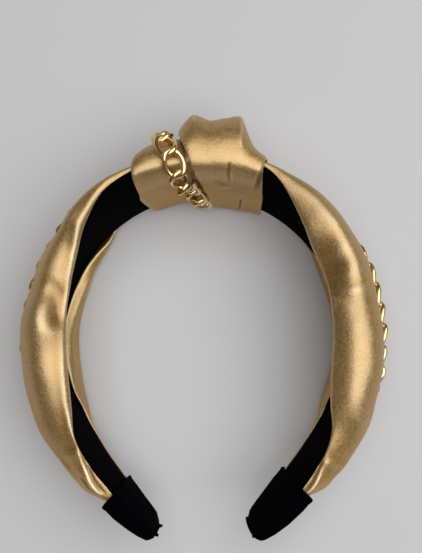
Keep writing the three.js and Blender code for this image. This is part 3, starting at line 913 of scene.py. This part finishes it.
# short frayed ends of thread along the inner side of the mouth
def addTufts(data, side):
    draw = random.Random(tuftValues["seed"][side])
    points = meshPoints(data)
    angles = np.abs(roundAngle(points))
    facing = facingAngle(points, sleeveValues["centreOut"])
    turns = [k / tuftValues["sides"] * 2 * math.pi for k in range(tuftValues["sides"])]
    skin = bmesh.new()
    skin.from_mesh(data)
    for _ in range(tuftValues["count"]):
        away = (facing - draw.uniform(*tuftValues["facing"]) + 180) % 360 - 180
        near = np.flatnonzero(np.abs(away) < tuftValues["window"])
        if not len(near):
            continue
        root = Vector(points[near[np.argmin(angles[near])]])
        inwards = Vector((ring.x - root.x, ring.y - root.y, 0)).normalized()
        along = Vector((inwards.y, -inwards.x, 0)) * (1 if root.x < ring.x else -1)
        way = inwards * draw.uniform(*tuftValues["inwards"]) + along * draw.uniform(*tuftValues["along"])
        way.z += draw.uniform(*tuftValues["up"])
        way.normalize()
        bend = Vector((draw.uniform(-1, 1), draw.uniform(-1, 1), draw.uniform(-1, 1))) * tuftValues["bend"]
        length = tuftValues["long"] * draw.uniform(*tuftValues["longShare"])
        root -= inwards * tuftValues["sunk"]
        loop = None
        for step in range(tuftValues["steps"] + 1):
            share = step / tuftValues["steps"]
            centre = root + (way + bend * share) * (length * share)
            width = tuftValues["thick"] * (1 - tuftValues["thinning"] * share)
            upwards = Vector((0, 0, width))
            spots = [centre + along * width * math.cos(turn) + upwards * math.sin(turn) for turn in turns]
            loop = addLoop(skin, spots, loop)
        skin.faces.new(loop)
    bmesh.ops.recalc_face_normals(skin, faces=skin.faces)
    skin.to_mesh(data)
    skin.free()


seamValues = {
    "corners": {"left": (20 * mm, 31 * mm), "right": (16 * mm, 35 * mm)},  # heights of its two corners
    "out": 0.3 * mm,
    "cornerOut": 1.1 * mm,  # how much further its corners stick out
    "cornerPower": 4,  # higher is sharper
    "deep": 1.5 * mm,  # how far it goes into the sleeve
    "thick": 1.1 * mm,
    "cling": 1.5,  # degrees of the ring that it follows the rounded end
    "evenPasses": 4,
}


# stitched strip along the pressed end, whose corners stick out of the rounded sleeve
def addSeam(data, side):
    rows = sleeveEnd(meshPoints(data))
    low, high = seamValues["corners"][side]
    rows = rows[(rows[:, 0] >= low) & (rows[:, 0] <= high)]
    rows[:, 1] = np.maximum(rows[:, 1], rows[:, 1].max() - seamValues["cling"])
    rows = evened(rows, seamValues["evenPasses"], False)
    half, deep = seamValues["thick"] / 2, seamValues["deep"]
    toCorner = np.abs(np.linspace(-1, 1, len(rows))) ** seamValues["cornerPower"]
    outs = seamValues["out"] + seamValues["cornerOut"] * toCorner
    sign = -1 if side == "left" else 1
    skin = bmesh.new()
    skin.from_mesh(data)
    last = None
    for (height, angle, radius), out in zip(rows, outs):
        turn = math.radians(angle) * sign
        away = Vector((math.sin(turn), math.cos(turn), 0))
        along = Vector((away.y, -away.x, 0)) * sign
        centre = Vector((ring.x, ring.y, height)) + away * radius
        section = ((-half, -deep), (half, -deep), (half, out), (-half, out))
        loop = addLoop(skin, [centre + away * across + along * reach for across, reach in section], last)
        if not last:
            skin.faces.new(loop[::-1])
        last = loop
    skin.faces.new(last)
    bmesh.ops.recalc_face_normals(skin, faces=skin.faces)
    skin.to_mesh(data)
    skin.free()


def makeSleeve(side):
    name, node = "sleeve_" + side, "tip_sleeve_" + side
    rough = bpy.data.objects.new(name + "_rough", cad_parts[node].data.copy())
    scene.collection.objects.link(rough)
    weave = rough.modifiers.new("weave", "REMESH")
    weave.mode = "VOXEL"
    weave.voxel_size = sleeveValues["voxel"]
    soften = rough.modifiers.new("soften", "SMOOTH")
    soften.iterations = sleeveValues["smooth"]
    data = evaluatedMesh(rough)
    data.name = name
    bpy.data.objects.remove(rough)
    shapeSleeve(data)
    addTufts(data, side)
    addSeam(data, side)
    ribbonAttribute(data)
    finishPiece(addPiece(name, data, blackCloth), "black_cloth", node)


makeBand()
makeSleeve("left")
makeSleeve("right")
print("cloth made")

tableValues = {"color": (0.575, 0.56, 0.53), "roughness": 0.9, "size": 4}


def makeTable():
    material, _, shader = newMaterial("pale table")
    setSockets(shader, Base_Color=(*tableValues["color"], 1), Roughness=tableValues["roughness"])
    bpy.ops.mesh.primitive_plane_add(size=tableValues["size"])
    table = bpy.context.object
    table.name = "table"
    table.data.materials.append(material)


lightValues = {
    "window": {"color": (0.96, 1, 1.09), "power": 15.2, "size": 1.5, "place": (0.26, 0.03, 0.93)},
    "room": {"color": (1, 0.9, 0.76), "strength": 0.12},
}


def makeLights():
    data = bpy.data.lights.new("window", "AREA")
    data.color = lightValues["window"]["color"]
    data.energy = lightValues["window"]["power"]
    data.size = lightValues["window"]["size"]
    light = bpy.data.objects.new("window", data)
    scene.collection.objects.link(light)
    light.location = lightValues["window"]["place"]
    light.rotation_euler = (ring - light.location).to_track_quat("-Z", "Y").to_euler()
    world = bpy.data.worlds.new("room")
    scene.world = world
    world.use_nodes = True
    background = world.node_tree.nodes["Background"]
    background.inputs["Color"].default_value = (*lightValues["room"]["color"], 1)
    background.inputs["Strength"].default_value = lightValues["room"]["strength"]


makeTable()
makeLights()
print("table and lights set")
